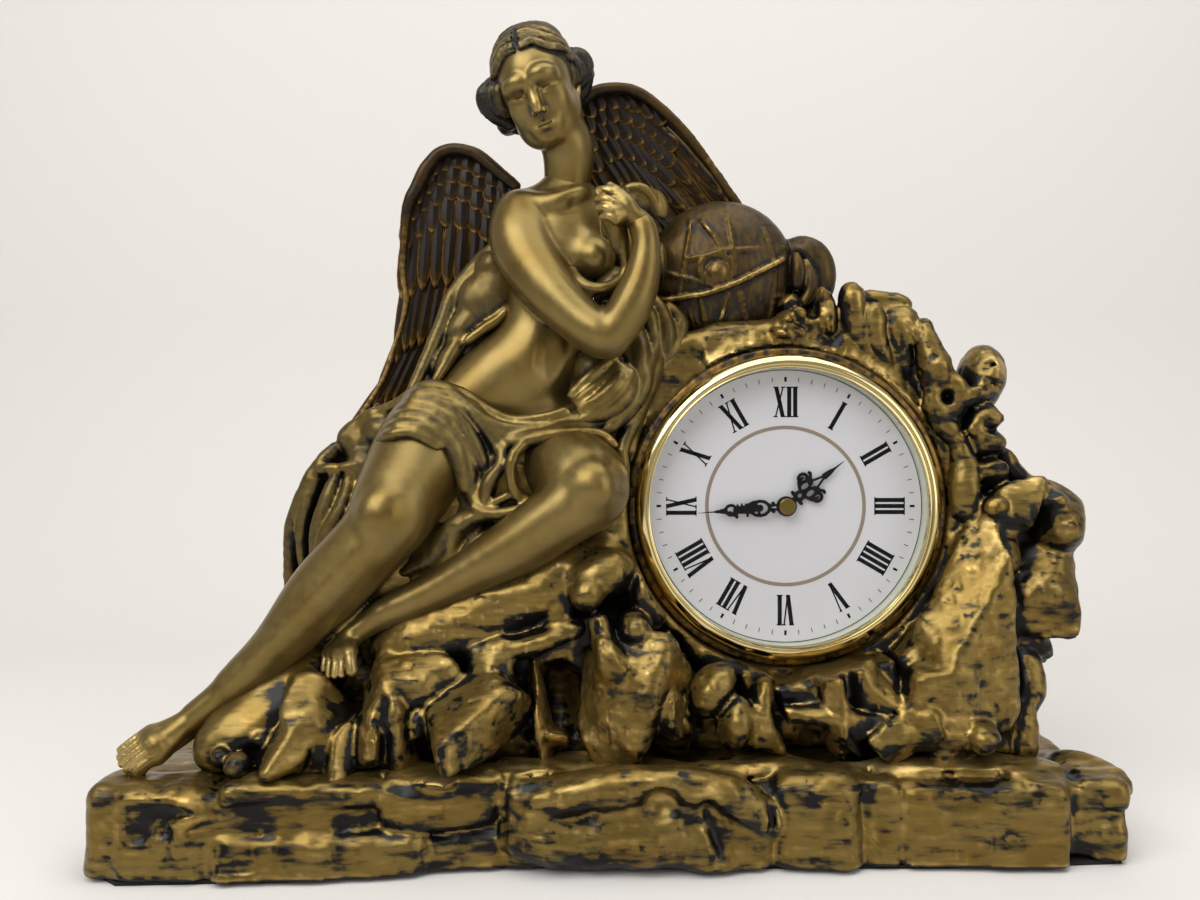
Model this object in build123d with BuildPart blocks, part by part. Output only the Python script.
"""Figural mantel clock: a winged figure seated on rocks beside a round quartz insert.

X runs to the right of the dial, Y to the back and Z up, in millimetres. The origin is the
middle of the base, on the surface that the clock stands on.
"""
from build123d import *
from math import cos, radians, sin
import os

os.makedirs("parts", exist_ok=True)

# Overall sizes of the cast group
clock_width = 323.0
clock_depth = 88.0
clock_height = 274.0
base_height = 27.0
base_wall = 7.0
felt_thickness = 1.2
felt_margin = 3.0
overrun = 1.0

# Round insert and the bore that holds it
bezel_radius = 51.5
bezel_rise = 5.0
bezel_edge = 1.1
opening_radius = 46.5
lip_thickness = 1.0
lip_crest = 1.1
skirt_wall = 1.4
skirt_length = 5.5
seat_y = -8.5
seat_ring_radius = 53.6
bore_clearance = 0.3
fit_clearance = 0.1
lens_thickness = 1.4
hand_room = 5.6
dial_thickness = 0.6
dial_hole_radius = 3.0
cup_wall = 1.6
cup_depth = 15.2
band_length = 7.5
band_wall = 1.1
band_rib = 0.4
band_rib_count = 4

# Quartz movement
movement_side = 56.0
movement_thickness = 16.4
movement_corner = 3.0
movement_wall = 1.0
movement_split = 9.2
window_clearance = 0.3
battery_radius = 7.25
battery_length = 50.5
battery_button_radius = 2.75
battery_button_length = 1.0
battery_clearance = 0.3
contact_thickness = 0.5
contact_width = 9.0
contact_height = 10.0
contact_bump_radius = 1.6
ear_length = 6.0
ear_width = 8.0
ear_thickness = 2.0
screw_radius = 1.2
screw_head_radius = 2.4
screw_head_height = 1.2
screw_slot = 0.6
post_radius = 1.4

# Train of wheels: teeth, centre distances and layers
layer_pitch = 1.2
wheel_thickness = 0.6
motion_thickness = 0.8
running_clearance = 0.05
arbor_radius = 0.5
stud_radius = 0.6
cannon_radius = 1.4
hour_pipe_radius = 2.4
knob_shaft_radius = 1.5
knob_radius = 6.0
knob_height = 3.6
knob_gap = 0.8
knob_grips = 16
knob_grip_radius = 0.7
plate_thickness = 0.8
cannon_teeth = 12
minute_wheel_teeth = 36
minute_pinion_teeth = 10
hour_wheel_teeth = 40
centre_wheel_teeth = 64
third_wheel_teeth = 60
seconds_wheel_teeth = 40
fifth_wheel_teeth = 48
small_pinion_teeth = 8
motion_distance = 9.6
third_distance = 10.8
fifth_distance = 11.04
rotor_distance = 8.4
minute_wheel_turn = 0.0
knob_turn = 45.0
third_turn = 150.0
fifth_turn = 80.0
rotor_turn = 120.0
magnet_radius = 3.0
magnet_height = 2.0
magnet_gap = 0.5
coil_radius = 2.2
coil_core_radius = 1.0
coil_length = 16.0
coil_rise = 24.4
stator_leg = 4.0
board_length = 15.0
board_height = 13.0
crystal_radius = 1.0
crystal_length = 6.0

# Hands, at sixteen minutes to two
hand_thickness = 0.4
hour_hand_length = 24.7
minute_hand_length = 30.2
hour_hand_angle = 52.13
minute_hand_angle = 265.6
hour_hand_gap = 1.2
hand_layer = 1.0
collet_radius = 3.4
cap_radius = 2.8
cap_height = 1.5

# Girths of the figure
skull_radius = 15.5
jaw_radius = 10.0
neck_radius = 6.6
shoulder_radius = 10.5
elbow_radius = 6.6
wrist_radius = 4.4
palm_radius = 6.5
hip_radius = 17.5
knee_radius = 11.5
ankle_radius = 5.6
foot_radius = 6.2
toe_radius = 4.0
wing_thickness = 9.0
cloth_thickness = 8.0
globe_radius = 30.0
globe_half_depth = 11.0
roll_radius = 6.0

# Places in the group, as shares of the overall width, depth and height
dial_centre_shares = (0.181, 0.0, 0.402)
figure_shares = {
    "skull": (-0.086, -0.07, 0.936),
    "jaw": (-0.075, -0.12, 0.905),
    "neck top": (-0.064, -0.02, 0.862),
    "neck base": (-0.045, 0.045, 0.792),
    "shoulder": (-0.104, -0.05, 0.750),
    "elbow": (-0.010, -0.31, 0.612),
    "wrist": (0.034, -0.29, 0.700),
    "palm": (0.012, -0.25, 0.758),
    "far shoulder": (0.016, 0.10, 0.748),
    "far elbow": (0.050, 0.10, 0.690),
    "hip": (-0.155, 0.02, 0.500),
    "knee": (-0.228, -0.29, 0.392),
    "ankle": (-0.386, -0.27, 0.200),
    "heel": (-0.408, -0.24, 0.158),
    "toes": (-0.468, -0.33, 0.122),
    "far hip": (-0.062, 0.02, 0.492),
    "far knee": (-0.016, -0.27, 0.420),
    "far ankle": (-0.240, -0.26, 0.282),
    "far heel": (-0.258, -0.24, 0.250),
    "far toes": (-0.276, -0.27, 0.222),
}
# Rings of the trunk: place, then half width and half depth as shares of the height
trunk_shares = (
    ((-0.117, 0.060, 0.488), (0.104, 0.070)),
    ((-0.112, 0.050, 0.540), (0.098, 0.068)),
    ((-0.100, 0.040, 0.600), (0.078, 0.056)),
    ((-0.075, 0.030, 0.665), (0.082, 0.060)),
    ((-0.055, 0.020, 0.720), (0.094, 0.064)),
    ((-0.045, 0.040, 0.770), (0.082, 0.044)),
    ((-0.045, 0.050, 0.796), (0.034, 0.030)),
)
skirt_shares = (
    ((-0.110, 0.055, 0.462), (0.128, 0.112)),
    ((-0.116, 0.050, 0.505), (0.130, 0.108)),
    ((-0.110, 0.045, 0.558), (0.108, 0.088)),
)

# Outlines seen from the front, as shares of the overall width and height
arch_shares = (
    (-0.010, 0.100), (-0.004, 0.250), (0.012, 0.360), (0.008, 0.470), (0.030, 0.570),
    (0.080, 0.604), (0.150, 0.612), (0.205, 0.650), (0.240, 0.668), (0.262, 0.692),
    (0.285, 0.690), (0.318, 0.674), (0.345, 0.640), (0.362, 0.575), (0.392, 0.590),
    (0.425, 0.602), (0.452, 0.572), (0.440, 0.540), (0.412, 0.528), (0.445, 0.480),
    (0.462, 0.436), (0.494, 0.440), (0.522, 0.400), (0.516, 0.368), (0.500, 0.345),
    (0.512, 0.314), (0.480, 0.262), (0.446, 0.222), (0.460, 0.155), (0.452, 0.100),
)
seat_rock_shares = (
    (-0.400, 0.100), (-0.360, 0.150), (-0.300, 0.215), (-0.262, 0.270), (-0.240, 0.350),
    (-0.205, 0.420), (-0.150, 0.460), (-0.060, 0.462), (-0.012, 0.440), (0.010, 0.360),
    (-0.006, 0.250), (-0.012, 0.100),
)
left_wing_shares = (
    (-0.108, 0.800), (-0.148, 0.858), (-0.183, 0.873), (-0.210, 0.862), (-0.236, 0.786),
    (-0.241, 0.686), (-0.239, 0.619), (-0.259, 0.552), (-0.297, 0.490), (-0.331, 0.452),
    (-0.353, 0.406), (-0.360, 0.347), (-0.357, 0.300), (-0.318, 0.296), (-0.262, 0.400),
    (-0.200, 0.480), (-0.120, 0.640),
)
right_wing_shares = (
    (-0.050, 0.760), (-0.062, 0.850), (-0.037, 0.942), (-0.003, 0.959), (0.043, 0.947),
    (0.100, 0.876), (0.157, 0.788), (0.203, 0.741), (0.236, 0.713), (0.232, 0.668),
    (0.130, 0.640), (0.030, 0.680),
)
back_cloth_shares = (
    (-0.140, 0.640), (-0.200, 0.600), (-0.235, 0.520), (-0.300, 0.440), (-0.335, 0.380),
    (-0.345, 0.310), (-0.300, 0.280), (-0.240, 0.330), (-0.180, 0.440), (-0.110, 0.500),
)
side_cloth_shares = (
    (0.012, 0.690), (0.046, 0.668), (0.058, 0.620), (0.036, 0.560), (0.010, 0.500),
    (-0.030, 0.486), (-0.040, 0.540), (-0.012, 0.600),
)
# Ground plan of the base, as shares of the overall width and depth
base_plan_shares = (
    (-0.500, -0.480), (-0.462, -0.590), (-0.300, -0.560), (-0.150, -0.440), (0.100, -0.450),
    (0.300, -0.450), (0.436, -0.425), (0.500, -0.405), (0.488, 0.270), (0.400, 0.400),
    (-0.380, 0.400), (-0.470, 0.300), (-0.500, -0.050),
)
# Boulders on the base: outline, then the places of their front and back in the depth
boulder_shares = (
    (((-0.090, 0.098), (-0.104, 0.180), (-0.088, 0.270), (-0.050, 0.300), (-0.012, 0.276),
      (0.004, 0.180), (0.010, 0.098)), (-0.390, -0.250)),
    (((0.016, 0.098), (0.022, 0.150), (0.050, 0.190), (0.096, 0.170), (0.112, 0.098)),
     (-0.400, -0.130)),
    (((0.118, 0.098), (0.126, 0.150), (0.190, 0.172), (0.268, 0.178), (0.300, 0.098)),
     (-0.380, -0.130)),
    (((0.306, 0.098), (0.302, 0.170), (0.318, 0.270), (0.352, 0.308), (0.392, 0.300),
      (0.430, 0.220), (0.442, 0.098)), (-0.350, -0.130)),
    (((-0.330, 0.098), (-0.318, 0.150), (-0.270, 0.196), (-0.220, 0.236), (-0.180, 0.220),
      (-0.146, 0.150), (-0.140, 0.098)), (-0.420, -0.250)),
)
seat_rock_depth_shares = (-0.250, 0.340)
arch_depth_shares = (-0.055, 0.380)
left_wing_depth_share = 0.330
right_wing_depth_share = 0.310
back_cloth_depth_share = 0.235
side_cloth_depth_share = 0.050
globe_centre_shares = (0.128, 0.105, 0.692)
roll_shares = ((0.214, 0.120, 0.742), (0.222, 0.120, 0.672))


def place(shares):
    """A point of the group from its shares of the overall width, depth and height."""
    return Vector(shares[0] * clock_width, shares[1] * clock_depth, shares[2] * clock_height)


def front_points(shares):
    """The points of an outline that is seen from the front."""
    return [(across * clock_width, up * clock_height) for across, up in shares]


def front_plane(y, x=0, z=0, angle=0):
    """A plane that faces forwards at depth y, turned about its normal."""
    turned = (cos(radians(angle)), 0, sin(radians(angle)))
    return Plane(origin=(x, y, z), x_dir=turned, z_dir=(0, -1, 0))


def slab(outline, front_y, back_y, mode=Mode.ADD):
    """Adds or cuts an outline between two depths."""
    with BuildSketch(front_plane(back_y)) as face:
        with BuildLine():
            Polyline(*outline, close=True)
        make_face()
    extrude(face.sketch, amount=back_y - front_y, mode=mode)


def bar(x, z, radius, front_y, back_y, mode=Mode.ADD):
    """Adds or cuts a round bar that runs front to back."""
    with BuildSketch(front_plane(back_y, x, z)) as face:
        Circle(radius)
    extrude(face.sketch, amount=back_y - front_y, mode=mode)


def block(x_range, front_y, back_y, z_range, mode=Mode.ADD):
    """Adds or cuts a rectangular block given by its limits."""
    middle_x = sum(x_range) / 2
    middle_z = sum(z_range) / 2
    with BuildSketch(front_plane(back_y, middle_x, middle_z)) as face:
        Rectangle(x_range[1] - x_range[0], z_range[1] - z_range[0])
    extrude(face.sketch, amount=back_y - front_y, mode=mode)


def rod(start, end, start_radius, end_radius, mode=Mode.ADD):
    """Adds or cuts a round rod between two points, straight or tapered."""
    run = end - start
    base = (Align.CENTER, Align.CENTER, Align.MIN)
    with Locations(Plane(origin=start, z_dir=run).location):
        if start_radius == end_radius:
            Cylinder(start_radius, run.length, align=base, mode=mode)
        else:
            Cone(start_radius, end_radius, run.length, align=base, mode=mode)


def limb(names, radii):
    """Adds a chain of tapered rounds with a ball at each joint."""
    joints = [place(figure_shares[name]) for name in names]
    for start, end, start_radius, end_radius in zip(joints, joints[1:], radii, radii[1:]):
        rod(start, end, start_radius, end_radius)
    for joint, radius in zip(joints, radii):
        with Locations(joint):
            Sphere(radius)


def rings(table):
    """Lofts a trunk or a skirt through level ellipses."""
    sections = []
    for shares, girth in table:
        with BuildSketch(Plane.XY.move(Location(place(shares)))) as section:
            Ellipse(girth[0] * clock_height, girth[1] * clock_height)
        sections.append(section.sketch)
    loft(sections)


def egg(centre, direction, long_radius, round_radius):
    """Adds a ball that is stretched or flattened along a line through its centre."""
    ball = Sphere(round_radius, mode=Mode.PRIVATE)
    stretched = scale(ball, by=(1, 1, long_radius / round_radius), mode=Mode.PRIVATE)
    add(Plane(origin=centre, z_dir=direction).location * stretched)


def gear_points(teeth, module, turn):
    """The outline of a small clock wheel with slim, straight-flanked teeth."""
    tip_share, root_share, flank_share, tip_width_share = 0.7, 1.0, 0.17, 0.08
    pitch = 360 / teeth
    pitch_radius = teeth * module / 2
    tip_radius = pitch_radius + tip_share * module
    root_radius = pitch_radius - root_share * module
    corners = (
        (root_radius, -flank_share), (pitch_radius, -flank_share), (tip_radius, -tip_width_share),
        (tip_radius, tip_width_share), (pitch_radius, flank_share), (root_radius, flank_share),
    )
    points = []
    for tooth in range(teeth):
        for radius, offset in corners:
            angle = radians(turn + (tooth + offset) * pitch)
            points.append((radius * cos(angle), radius * sin(angle)))
    return points


def toothed(x, z, front_y, thickness, teeth, module, turn):
    """Adds a toothed wheel; the turn is the angle of one tooth from the X axis."""
    with BuildSketch(front_plane(front_y + thickness, x, z)) as face:
        with BuildLine():
            Polyline(*gear_points(teeth, module, turn), close=True)
        make_face()
    extrude(face.sketch, amount=thickness)


def meshing_turn(line_angle, teeth, other_teeth, other_turn):
    """The turn that puts a tooth in a gap of the other wheel, which lies at line_angle."""
    offset = (other_turn - line_angle - 180) * other_teeth / 360
    return line_angle - (offset % 1 - 0.5) * 360 / teeth


def module_for(distance, teeth, other_teeth):
    """The module of two wheels whose centres are this far apart."""
    return 2 * distance / (teeth + other_teeth)


def step_from(x, z, distance, angle):
    """The point at a distance and an angle from another, seen from the front."""
    return x + distance * cos(radians(angle)), z + distance * sin(radians(angle))


# Depths of the insert, from the casting's seat
dial_x, _, dial_z = place(dial_centre_shares)
dial_axis = (dial_x, dial_z)
bezel_front_y = seat_y - bezel_rise
lens_front_y = bezel_front_y + lip_crest + lip_thickness / 2
lens_back_y = lens_front_y + lens_thickness
dial_front_y = lens_back_y + hand_room
dial_back_y = dial_front_y + dial_thickness
cup_radius = opening_radius + lip_thickness - fit_clearance
skirt_radius = cup_radius + fit_clearance + skirt_wall
bore_radius = skirt_radius + bore_clearance
skirt_bore_radius = cup_radius + fit_clearance
skirt_back_y = seat_y + skirt_length
cup_back_y = dial_back_y + cup_depth
movement_back_y = dial_back_y + movement_thickness
split_y = dial_back_y + movement_split
half_side = movement_side / 2
inner_half = half_side - movement_wall
wall_y = dial_back_y + movement_wall

# Layers of the train, from the inside of the movement's front wall
hour_layer_y = wall_y + wheel_thickness / 2
minute_layer_y = hour_layer_y + layer_pitch
centre_layer_y = minute_layer_y + layer_pitch + running_clearance * 4
third_layer_y = centre_layer_y + layer_pitch
seconds_layer_y = third_layer_y + layer_pitch
fifth_layer_y = seconds_layer_y + layer_pitch
magnet_front_y = fifth_layer_y + layer_pitch
magnet_back_y = magnet_front_y + magnet_height
stator_front_y = magnet_front_y + magnet_gap
stator_back_y = stator_front_y + plate_thickness
plate_front_y = magnet_back_y + magnet_gap
plate_back_y = plate_front_y + plate_thickness
arbor_front_y = dial_back_y + movement_wall / 2
hour_hand_y = dial_front_y - hour_hand_gap - hand_thickness
minute_hand_y = hour_hand_y - hand_layer
cap_front_y = minute_hand_y - cap_height

# Axes of the train
wheel_axis = step_from(*dial_axis, motion_distance, minute_wheel_turn)
knob_axis = step_from(*wheel_axis, motion_distance, knob_turn)
third_axis = step_from(*dial_axis, third_distance, third_turn)
fifth_axis = step_from(*dial_axis, fifth_distance, fifth_turn)
rotor_axis = step_from(*fifth_axis, rotor_distance, rotor_turn)
cannon_module = module_for(motion_distance, cannon_teeth, minute_wheel_teeth)
hour_module = module_for(motion_distance, minute_pinion_teeth, hour_wheel_teeth)
centre_module = module_for(third_distance, centre_wheel_teeth, small_pinion_teeth)
third_module = module_for(third_distance, third_wheel_teeth, small_pinion_teeth)
seconds_module = module_for(fifth_distance, seconds_wheel_teeth, small_pinion_teeth)
fifth_module = module_for(rotor_distance, fifth_wheel_teeth, small_pinion_teeth)

# Base: a hollow casting closed by felt
base_plan = [(across * clock_width, deep * clock_depth) for across, deep in base_plan_shares]

with BuildPart() as base_plinth:
    with BuildSketch(Plane.XY.offset(felt_thickness)) as plan:
        with BuildLine():
            Polyline(*base_plan, close=True)
        make_face()
    extrude(amount=base_height - felt_thickness)
    with BuildSketch(Plane.XY.offset(felt_thickness)) as hollow:
        with BuildLine():
            Polyline(*base_plan, close=True)
        make_face()
        offset(amount=-base_wall, kind=Kind.INTERSECTION)
    extrude(amount=base_height - felt_thickness - base_wall, mode=Mode.SUBTRACT)

with BuildPart() as base_felt:
    with BuildSketch() as felt_plan:
        with BuildLine():
            Polyline(*base_plan, close=True)
        make_face()
        offset(amount=-felt_margin, kind=Kind.INTERSECTION)
    extrude(amount=felt_thickness)

# Rock arch that holds the insert, with its bore open at the back
arch_front_y, arch_back_y = [share * clock_depth for share in arch_depth_shares]
seat_rock_front_y, seat_rock_back_y = [share * clock_depth for share in seat_rock_depth_shares]

with BuildPart() as rock_arch:
    slab(front_points(arch_shares), arch_front_y, arch_back_y)
    bar(*dial_axis, seat_ring_radius, seat_y, arch_front_y)
    bar(*dial_axis, bore_radius, seat_y - overrun, arch_back_y + overrun, Mode.SUBTRACT)
    block((-clock_width, clock_width), -clock_depth, clock_depth, (0, base_height), Mode.SUBTRACT)

with BuildPart() as rock_seat:
    slab(front_points(seat_rock_shares), seat_rock_front_y, seat_rock_back_y)
    block((-clock_width, clock_width), -clock_depth, clock_depth, (0, base_height), Mode.SUBTRACT)
    add(rock_arch.part, mode=Mode.SUBTRACT)
    bar(*dial_axis, seat_ring_radius, -clock_depth, clock_depth, Mode.SUBTRACT)

with BuildPart() as base_boulders:
    for outline, depths in boulder_shares:
        slab(front_points(outline), depths[0] * clock_depth, depths[1] * clock_depth)
    block((-clock_width, clock_width), -clock_depth, clock_depth, (0, base_height), Mode.SUBTRACT)
    bar(*dial_axis, seat_ring_radius + bore_clearance, -clock_depth, clock_depth, Mode.SUBTRACT)
    add(rock_seat.part, mode=Mode.SUBTRACT)
    add(rock_arch.part, mode=Mode.SUBTRACT)

# Figure: trunk, head, arms and legs
with BuildPart() as figure_trunk:
    rings(trunk_shares)
    add(rock_seat.part, mode=Mode.SUBTRACT)
    add(rock_arch.part, mode=Mode.SUBTRACT)

with BuildPart() as figure_head:
    limb(("neck base", "neck top"), (neck_radius + overrun, neck_radius))
    limb(("jaw", "skull"), (jaw_radius, skull_radius))
    split(bisect_by=Plane.XY.offset(trunk_shares[-1][0][2] * clock_height), keep=Keep.TOP)

with BuildPart() as right_arm:
    arm_radii = (shoulder_radius, elbow_radius, wrist_radius, palm_radius)
    limb(("shoulder", "elbow", "wrist", "palm"), arm_radii)
    add(figure_trunk.part, mode=Mode.SUBTRACT)
    add(figure_head.part, mode=Mode.SUBTRACT)

with BuildPart() as left_arm:
    limb(("far shoulder", "far elbow"), (shoulder_radius, elbow_radius))
    add(figure_trunk.part, mode=Mode.SUBTRACT)
    add(figure_head.part, mode=Mode.SUBTRACT)
    add(right_arm.part, mode=Mode.SUBTRACT)

leg_radii = (hip_radius, knee_radius, ankle_radius, foot_radius, toe_radius)

with BuildPart() as right_leg:
    limb(("hip", "knee", "ankle", "heel", "toes"), leg_radii)
    add(figure_trunk.part, mode=Mode.SUBTRACT)
    add(rock_seat.part, mode=Mode.SUBTRACT)
    add(base_boulders.part, mode=Mode.SUBTRACT)
    block((-clock_width, clock_width), -clock_depth, clock_depth, (0, base_height), Mode.SUBTRACT)

with BuildPart() as left_leg:
    limb(("far hip", "far knee", "far ankle", "far heel", "far toes"), leg_radii)
    add(figure_trunk.part, mode=Mode.SUBTRACT)
    add(rock_seat.part, mode=Mode.SUBTRACT)
    add(rock_arch.part, mode=Mode.SUBTRACT)
    add(base_boulders.part, mode=Mode.SUBTRACT)
    add(right_leg.part, mode=Mode.SUBTRACT)
    bar(*dial_axis, seat_ring_radius + bore_clearance, -clock_depth, clock_depth, Mode.SUBTRACT)

# Drapery
with BuildPart() as hip_drape:
    rings(skirt_shares)
    for neighbour in (figure_trunk, right_leg, left_leg, rock_seat, rock_arch):
        add(neighbour.part, mode=Mode.SUBTRACT)

back_cloth_y = back_cloth_depth_share * clock_depth
side_cloth_y = side_cloth_depth_share * clock_depth

with BuildPart() as back_cloth:
    slab(front_points(back_cloth_shares), back_cloth_y - cloth_thickness, back_cloth_y)
    for neighbour in (figure_trunk, right_leg, hip_drape, rock_seat):
        add(neighbour.part, mode=Mode.SUBTRACT)

with BuildPart() as side_cloth:
    slab(front_points(side_cloth_shares), side_cloth_y - cloth_thickness * 2, side_cloth_y)
    for neighbour in (figure_trunk, right_arm, left_arm, hip_drape, left_leg, rock_arch, rock_seat):
        add(neighbour.part, mode=Mode.SUBTRACT)

# Wings and the ribbed globe behind the arm
left_wing_y = left_wing_depth_share * clock_depth
right_wing_y = right_wing_depth_share * clock_depth

with BuildPart() as left_wing:
    slab(front_points(left_wing_shares), left_wing_y - wing_thickness, left_wing_y)
    for neighbour in (back_cloth, figure_trunk, rock_seat, right_arm, hip_drape):
        add(neighbour.part, mode=Mode.SUBTRACT)

with BuildPart() as right_wing:
    slab(front_points(right_wing_shares), right_wing_y - wing_thickness, right_wing_y)
    for neighbour in (figure_trunk, figure_head, left_arm, rock_arch):
        add(neighbour.part, mode=Mode.SUBTRACT)

with BuildPart() as ribbed_globe:
    egg(place(globe_centre_shares), Vector(0, 1, 0), globe_half_depth, globe_radius)
    roll_start, roll_end = [place(shares) for shares in roll_shares]
    rod(roll_start, roll_end, roll_radius, roll_radius)
    for neighbour in (right_wing, figure_trunk, left_arm, right_arm, side_cloth, rock_arch):
        add(neighbour.part, mode=Mode.SUBTRACT)

# Insert: bezel, lens, dial, cup and the rubber band that grips the bore
with BuildPart() as bezel:
    with BuildSketch(Plane(origin=(dial_x, 0, dial_z), x_dir=(1, 0, 0), z_dir=(0, 0, 1))) as section:
        with BuildLine():
            crest = (opening_radius + lip_crest, bezel_front_y)
            edge = (bezel_radius, seat_y - bezel_edge)
            Polyline(
                edge, (bezel_radius, seat_y), (skirt_radius, seat_y), (skirt_radius, skirt_back_y),
                (skirt_bore_radius, skirt_back_y), (skirt_bore_radius, lens_front_y),
                (opening_radius, lens_front_y), (opening_radius, bezel_front_y + lip_crest / 2), crest,
            )
            RadiusArc(crest, edge, bezel_rise * 1.4)
        make_face()
    revolve(section.sketch, Axis((dial_x, 0, dial_z), (0, 1, 0)))

with BuildPart() as lens:
    bar(*dial_axis, cup_radius, lens_front_y, lens_back_y)

with BuildPart() as dial_ring:
    bar(*dial_axis, cup_radius, lens_back_y, dial_front_y)
    bar(*dial_axis, opening_radius, lens_back_y, dial_front_y, Mode.SUBTRACT)

with BuildPart() as dial:
    bar(*dial_axis, cup_radius, dial_front_y, dial_back_y)
    bar(*dial_axis, dial_hole_radius, dial_front_y, dial_back_y, Mode.SUBTRACT)

window_half = half_side + window_clearance
ear_middle_x = half_side + ear_length / 2
ear_back_y = cup_back_y - cup_wall
ear_places = [(dial_x - ear_middle_x, dial_z), (dial_x + ear_middle_x, dial_z)]
window_x = (dial_x - window_half, dial_x + window_half)
window_z = (dial_z - window_half, dial_z + window_half)

with BuildPart() as insert_cup:
    bar(*dial_axis, cup_radius, dial_back_y, cup_back_y)
    bar(*dial_axis, cup_radius - cup_wall, dial_back_y, cup_back_y - cup_wall, Mode.SUBTRACT)
    block(window_x, cup_back_y - cup_wall, cup_back_y, window_z, Mode.SUBTRACT)
    for x, z in ear_places:
        bar(x, z, screw_radius + fit_clearance, cup_back_y - cup_wall, cup_back_y, Mode.SUBTRACT)

band_front_y = skirt_back_y + fit_clearance

with BuildPart() as rubber_band:
    bar(*dial_axis, cup_radius + band_wall, band_front_y, band_front_y + band_length)
    rib_pitch = band_length / band_rib_count
    for rib in range(band_rib_count):
        rib_y = band_front_y + rib * rib_pitch
        bar(*dial_axis, cup_radius + band_wall + band_rib, rib_y, rib_y + rib_pitch / 2)
    bar(*dial_axis, cup_radius, band_front_y, band_front_y + band_length, Mode.SUBTRACT)

# Movement case in two halves, with the battery bay along its lower edge
bay_low_z = dial_z - inner_half
bay_high_z = bay_low_z + 2 * (battery_radius + battery_clearance)
battery_z = (bay_low_z + bay_high_z) / 2
battery_y = wall_y + battery_clearance + battery_radius
outer_x = (dial_x - half_side, dial_x + half_side)
inner_x = (dial_x - inner_half, dial_x + inner_half)
outer_z = (dial_z - half_side, dial_z + half_side)
train_z = (bay_high_z + movement_wall, dial_z + inner_half)
arbor_places = [third_axis, fifth_axis, rotor_axis]

with BuildPart() as movement_front:
    block(outer_x, dial_back_y, split_y, outer_z)
    corner_posts = movement_front.edges().filter_by(Axis.Y)
    fillet(corner_posts, movement_corner)
    block(inner_x, wall_y, split_y, train_z, Mode.SUBTRACT)
    block(inner_x, wall_y, split_y, (bay_low_z, bay_high_z), Mode.SUBTRACT)
    bar(*dial_axis, hour_pipe_radius + running_clearance, dial_back_y, wall_y, Mode.SUBTRACT)
    for x, z in arbor_places:
        bar(x, z, arbor_radius + running_clearance, arbor_front_y, wall_y, Mode.SUBTRACT)
    bar(*knob_axis, knob_shaft_radius + running_clearance, arbor_front_y, wall_y, Mode.SUBTRACT)
    bar(*wheel_axis, stud_radius, wall_y, minute_layer_y + motion_thickness)

plate_x = (third_axis[0] - arbor_radius * 8, dial_x + arbor_radius * 20)
plate_z = (train_z[0] + movement_wall, rotor_axis[1] + magnet_radius)
board_x = (inner_x[1] - movement_wall - board_length, inner_x[1] - movement_wall)
board_z = (inner_half + dial_z - movement_wall - board_height, inner_half + dial_z - movement_wall)
plate_posts = [
    (plate_x[0] + post_radius, plate_z[0] + post_radius),
    (plate_x[1] - post_radius, plate_z[0] + post_radius),
    (plate_x[0] + post_radius, plate_z[1] - post_radius),
]
board_post_x = board_x[1] - post_radius
board_posts = [(board_post_x, board_z[1] - post_radius), (board_post_x, board_z[0] + post_radius)]

with BuildPart() as movement_back:
    block(outer_x, split_y, movement_back_y, outer_z)
    fillet(movement_back.edges().filter_by(Axis.Y), movement_corner)
    block(inner_x, split_y, movement_back_y - movement_wall, train_z, Mode.SUBTRACT)
    block(inner_x, split_y, movement_back_y, (bay_low_z, bay_high_z), Mode.SUBTRACT)
    bar(*knob_axis, knob_shaft_radius + running_clearance, split_y, movement_back_y, Mode.SUBTRACT)
    for x, z in plate_posts + board_posts:
        bar(x, z, post_radius, plate_back_y, movement_back_y - movement_wall)
    for x, z in ear_places:
        ear_x = (x - ear_length / 2, x + ear_length / 2)
        block(ear_x, ear_back_y - ear_thickness, ear_back_y, (z - ear_width / 2, z + ear_width / 2))
        bar(x, z, screw_radius + running_clearance, ear_back_y - ear_thickness, ear_back_y, Mode.SUBTRACT)

with BuildPart() as movement_screws:
    for x, z in ear_places:
        bar(x, z, screw_radius, ear_back_y - ear_thickness, cup_back_y)
        bar(x, z, screw_head_radius, cup_back_y, cup_back_y + screw_head_height)
        slot_x = (x - screw_head_radius, x + screw_head_radius)
        slot_front_y = cup_back_y + screw_head_height / 2
        slot_z = (z - screw_slot / 2, z + screw_slot / 2)
        block(slot_x, slot_front_y, cup_back_y + screw_head_height, slot_z, Mode.SUBTRACT)

# Plate, board, crystal, stator, coil and contacts
with BuildPart() as train_plate:
    block(plate_x, plate_front_y, plate_back_y, plate_z)
    for x, z in arbor_places + [dial_axis]:
        bar(x, z, arbor_radius + running_clearance, plate_front_y, plate_back_y, Mode.SUBTRACT)

with BuildPart() as circuit_board:
    block(board_x, plate_front_y, plate_back_y, board_z)

crystal_z = board_z[0] + crystal_radius * 3

with BuildPart() as quartz_crystal:
    crystal_start = Vector(board_x[0] + crystal_length / 2, plate_front_y - crystal_radius, crystal_z)
    rod(crystal_start, crystal_start + Vector(crystal_length, 0, 0), crystal_radius, crystal_radius)

coil_middle_x = dial_x - half_side / 2
coil_x = (coil_middle_x - coil_length / 2, coil_middle_x + coil_length / 2)
coil_z = dial_z + coil_rise
coil_y = (stator_front_y + stator_back_y) / 2
coil_start = Vector(coil_x[0], coil_y, coil_z)
coil_end = Vector(coil_x[1], coil_y, coil_z)
stator_x = (coil_x[0] - stator_leg, coil_x[1] + stator_leg)
stator_low_z = rotor_axis[1] - magnet_radius * 1.5

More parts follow.
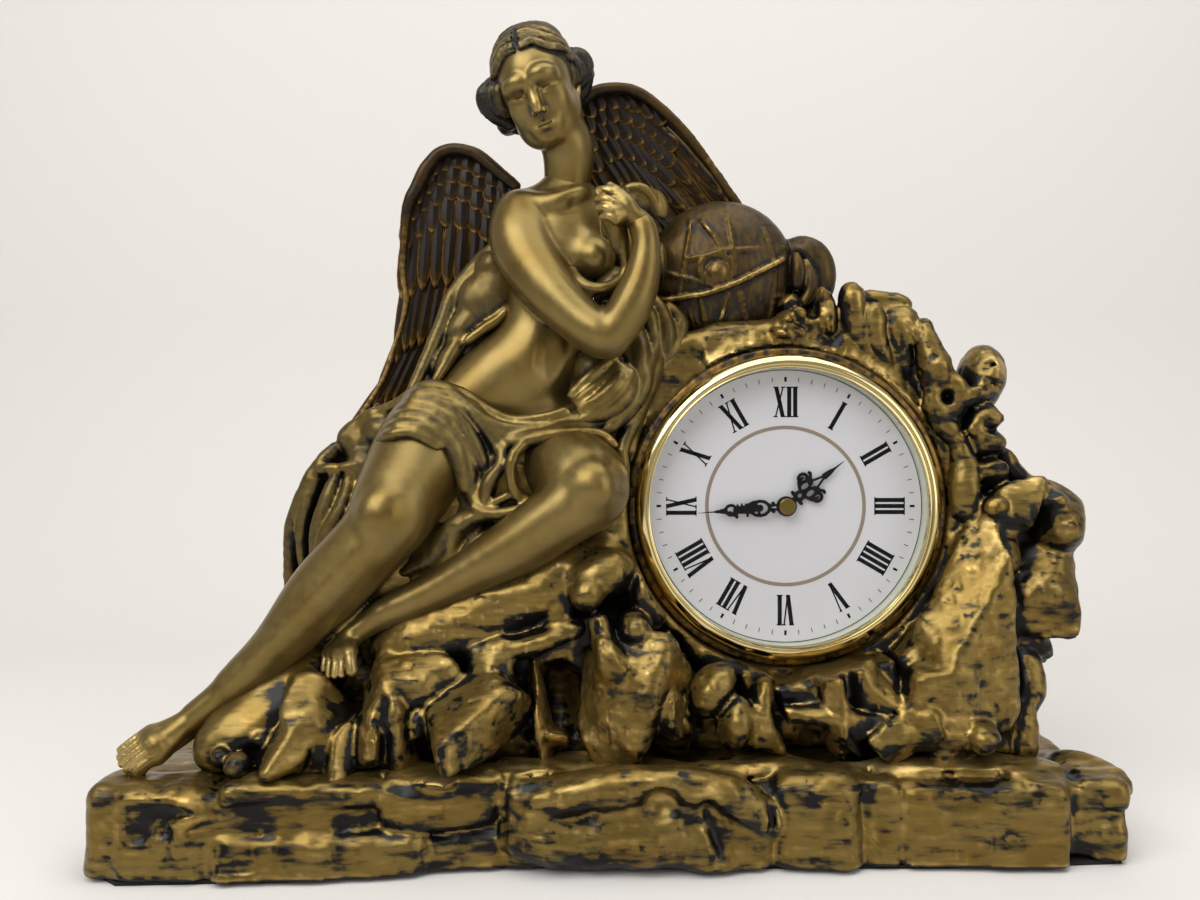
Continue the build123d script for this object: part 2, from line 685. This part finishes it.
with BuildPart() as stator:
    yoke_z = (stator_low_z, coil_z + coil_core_radius)
    coil_slot_z = (coil_z - coil_radius - magnet_gap, coil_z + coil_radius)
    block(stator_x, stator_front_y, stator_back_y, yoke_z)
    block(coil_x, stator_front_y, stator_back_y, coil_slot_z, Mode.SUBTRACT)
    bar(*rotor_axis, magnet_radius + magnet_gap, stator_front_y, stator_back_y, Mode.SUBTRACT)
    rod(coil_start, coil_end, coil_core_radius, coil_core_radius)
    for x in (stator_x[0] + stator_leg / 2 + stator_leg, coil_x[1] - stator_leg / 2):
        bar(x, stator_low_z + post_radius, post_radius / 2, stator_back_y, plate_front_y)

with BuildPart() as drive_coil:
    rod(coil_start, coil_end, coil_radius, coil_radius)
    rod(coil_start, coil_end, coil_core_radius, coil_core_radius, Mode.SUBTRACT)

contact_z = (battery_z - contact_width / 2, battery_z + contact_width / 2)
contact_y = (battery_y - contact_height / 2, battery_y + contact_height / 2)
battery_x = (dial_x - battery_length / 2, dial_x + battery_length / 2)
bump_reach = inner_half - battery_length / 2 - contact_thickness - battery_clearance

with BuildPart() as positive_contact:
    block((inner_x[1] - contact_thickness, inner_x[1]), *contact_y, contact_z)
    bump_start = Vector(inner_x[1] - contact_thickness, battery_y, battery_z)
    rod(bump_start, bump_start - Vector(bump_reach, 0, 0), contact_bump_radius, contact_bump_radius)

with BuildPart() as negative_contact:
    block((inner_x[0], inner_x[0] + contact_thickness), *contact_y, contact_z)
    spring_start = Vector(inner_x[0] + contact_thickness, battery_y, battery_z)
    rod(spring_start, spring_start + Vector(bump_reach, 0, 0), contact_bump_radius * 2, contact_bump_radius)

with BuildPart() as battery:
    battery_start = Vector(battery_x[0], battery_y, battery_z)
    can_length = Vector(battery_length - battery_button_length, 0, 0)
    rod(battery_start, battery_start + can_length, battery_radius, battery_radius)
    button_end = battery_start + Vector(battery_length, 0, 0)
    rod(battery_start, button_end, battery_button_radius, battery_button_radius)

# Motion work: cannon pinion, minute wheel, hour wheel and setting knob
minute_wheel_phase = 0.0
minute_pinion_phase = 0.0
cannon_phase = meshing_turn(minute_wheel_turn, cannon_teeth, minute_wheel_teeth, minute_wheel_phase)
knob_phase = meshing_turn(knob_turn + 180, cannon_teeth, minute_wheel_teeth, minute_wheel_phase)
hour_wheel_phase = meshing_turn(
    minute_wheel_turn, hour_wheel_teeth, minute_pinion_teeth, minute_pinion_phase)

with BuildPart() as cannon_pinion:
    cannon_back_y = centre_layer_y + wheel_thickness
    bar(*dial_axis, cannon_radius, minute_hand_y, cannon_back_y)
    toothed(*dial_axis, minute_layer_y, motion_thickness, cannon_teeth, cannon_module, cannon_phase)
    bar(*dial_axis, arbor_radius + fit_clearance, minute_hand_y, cannon_back_y, Mode.SUBTRACT)

with BuildPart() as minute_wheel:
    wheel_back_y = minute_layer_y + motion_thickness
    toothed(*wheel_axis, minute_layer_y, motion_thickness, minute_wheel_teeth, cannon_module,
            minute_wheel_phase)
    toothed(*wheel_axis, hour_layer_y, layer_pitch, minute_pinion_teeth, hour_module, minute_pinion_phase)
    bar(*wheel_axis, stud_radius + running_clearance, hour_layer_y, wheel_back_y, Mode.SUBTRACT)

with BuildPart() as hour_wheel:
    toothed(*dial_axis, hour_layer_y, motion_thickness, hour_wheel_teeth, hour_module, hour_wheel_phase)
    bar(*dial_axis, hour_pipe_radius, hour_hand_y, hour_layer_y)
    pipe_back_y = hour_layer_y + motion_thickness
    bar(*dial_axis, cannon_radius + fit_clearance, hour_hand_y, pipe_back_y, Mode.SUBTRACT)

knob_front_y = movement_back_y + knob_gap

with BuildPart() as setting_knob:
    bar(*knob_axis, knob_shaft_radius, arbor_front_y, knob_front_y)
    toothed(*knob_axis, minute_layer_y, motion_thickness, cannon_teeth, cannon_module, knob_phase)
    with BuildSketch(front_plane(knob_front_y + knob_height, *knob_axis)) as grip:
        Circle(knob_radius)
        with PolarLocations(knob_radius, knob_grips):
            Circle(knob_grip_radius, mode=Mode.SUBTRACT)
    extrude(grip.sketch, amount=knob_height)

# Going train: rotor, fifth, seconds, third and centre wheels
third_pinion_phase = 0.0
seconds_pinion_phase = 0.0
fifth_pinion_phase = 0.0
rotor_phase = 0.0
centre_wheel_phase = meshing_turn(third_turn, centre_wheel_teeth, small_pinion_teeth, third_pinion_phase)
third_wheel_phase = meshing_turn(
    third_turn + 180, third_wheel_teeth, small_pinion_teeth, seconds_pinion_phase)
seconds_wheel_phase = meshing_turn(fifth_turn, seconds_wheel_teeth, small_pinion_teeth, fifth_pinion_phase)
fifth_wheel_phase = meshing_turn(rotor_turn, fifth_wheel_teeth, small_pinion_teeth, rotor_phase)

with BuildPart() as centre_wheel:
    toothed(*dial_axis, centre_layer_y, wheel_thickness, centre_wheel_teeth, centre_module,
            centre_wheel_phase)
    bar(*dial_axis, cannon_radius + running_clearance, centre_layer_y, centre_layer_y + wheel_thickness,
        Mode.SUBTRACT)

with BuildPart() as third_wheel:
    bar(*third_axis, arbor_radius, arbor_front_y, plate_back_y)
    toothed(*third_axis, centre_layer_y, wheel_thickness, small_pinion_teeth, centre_module,
            third_pinion_phase)
    toothed(*third_axis, third_layer_y, wheel_thickness, third_wheel_teeth, third_module, third_wheel_phase)

with BuildPart() as seconds_wheel:
    bar(*dial_axis, arbor_radius, minute_hand_y + fit_clearance, plate_back_y)
    toothed(*dial_axis, third_layer_y, wheel_thickness, small_pinion_teeth, third_module,
            seconds_pinion_phase)
    toothed(*dial_axis, seconds_layer_y, wheel_thickness, seconds_wheel_teeth, seconds_module,
            seconds_wheel_phase)

with BuildPart() as fifth_wheel:
    bar(*fifth_axis, arbor_radius, arbor_front_y, plate_back_y)
    toothed(*fifth_axis, seconds_layer_y, wheel_thickness, small_pinion_teeth, seconds_module,
            fifth_pinion_phase)
    toothed(*fifth_axis, fifth_layer_y, wheel_thickness, fifth_wheel_teeth, fifth_module, fifth_wheel_phase)

with BuildPart() as rotor:
    bar(*rotor_axis, arbor_radius, arbor_front_y, plate_back_y)
    toothed(*rotor_axis, fifth_layer_y, wheel_thickness, small_pinion_teeth, fifth_module, rotor_phase)
    bar(*rotor_axis, magnet_radius, magnet_front_y, magnet_back_y)

# Hands: along each blade, the middle, outer radius and hole radius of each ring as shares of its length
hour_ring_shares = (
    (0.20, 0.000, 0.055, 0.020), (0.36, 0.110, 0.105, 0.065), (0.36, -0.110, 0.105, 0.065),
    (0.52, 0.085, 0.075, 0.042), (0.52, -0.085, 0.075, 0.042), (0.66, 0.000, 0.045, 0.0),
)
minute_ring_shares = (
    (0.17, 0.000, 0.045, 0.016), (0.30, 0.000, 0.085, 0.055), (0.43, 0.045, 0.045, 0.020),
    (0.43, -0.045, 0.045, 0.020), (0.54, 0.000, 0.035, 0.0), (0.66, 0.000, 0.060, 0.034),
    (0.75, 0.000, 0.030, 0.0),
)
blade_shares = (0.040, 0.024, 0.006)
waist_share = 0.7


def hand(angle, front_y, length, ring_shares, hub_radius, pipe_radius):
    """Adds an openwork hand that points at an angle clockwise from twelve."""
    with BuildSketch(front_plane(front_y + hand_thickness, dial_x, dial_z, 90 - angle)) as face:
        with BuildLine():
            root, waist, tip = [share * length for share in blade_shares]
            half = [(0, root), (length * waist_share, waist), (length, tip)]
            Polyline(*half, *[(along, -across) for along, across in reversed(half)], close=True)
        make_face()
        for along, across, outer, hole in ring_shares:
            with Locations((along * length, across * length)):
                Circle(outer * length)
        for along, across, outer, hole in ring_shares:
            if hole:
                with Locations((along * length, across * length)):
                    Circle(hole * length, mode=Mode.SUBTRACT)
        Circle(hub_radius)
        Circle(pipe_radius, mode=Mode.SUBTRACT)
    extrude(face.sketch, amount=hand_thickness)


with BuildPart() as hour_hand:
    hand(hour_hand_angle, hour_hand_y, hour_hand_length, hour_ring_shares, collet_radius, hour_pipe_radius)

with BuildPart() as minute_hand:
    hand(minute_hand_angle, minute_hand_y, minute_hand_length, minute_ring_shares, collet_radius,
         cannon_radius)

with BuildPart() as hand_cap:
    bar(*dial_axis, cap_radius, cap_front_y, minute_hand_y)
    fillet(hand_cap.faces().sort_by(Axis.Y)[0].edges(), cap_height / 3)

pieces = {
    "base_plinth": base_plinth, "base_felt": base_felt, "rock_arch": rock_arch, "rock_seat": rock_seat,
    "base_boulders": base_boulders, "figure_trunk": figure_trunk, "figure_head": figure_head,
    "right_arm": right_arm, "left_arm": left_arm, "right_leg": right_leg, "left_leg": left_leg,
    "hip_drape": hip_drape, "back_cloth": back_cloth, "side_cloth": side_cloth, "left_wing": left_wing,
    "right_wing": right_wing, "ribbed_globe": ribbed_globe, "bezel": bezel, "lens": lens,
    "dial_ring": dial_ring, "dial": dial, "insert_cup": insert_cup, "rubber_band": rubber_band,
    "movement_front": movement_front, "movement_back": movement_back, "movement_screws": movement_screws,
    "train_plate": train_plate, "circuit_board": circuit_board, "quartz_crystal": quartz_crystal,
    "stator": stator, "drive_coil": drive_coil, "positive_contact": positive_contact,
    "negative_contact": negative_contact, "battery": battery, "cannon_pinion": cannon_pinion,
    "minute_wheel": minute_wheel, "hour_wheel": hour_wheel, "setting_knob": setting_knob,
    "centre_wheel": centre_wheel, "third_wheel": third_wheel, "seconds_wheel": seconds_wheel,
    "fifth_wheel": fifth_wheel, "rotor": rotor, "hour_hand": hour_hand, "minute_hand": minute_hand,
    "hand_cap": hand_cap,
}
for label, piece in pieces.items():
    piece.part.label = label
    export_step(piece.part, f"parts/{label}.step")
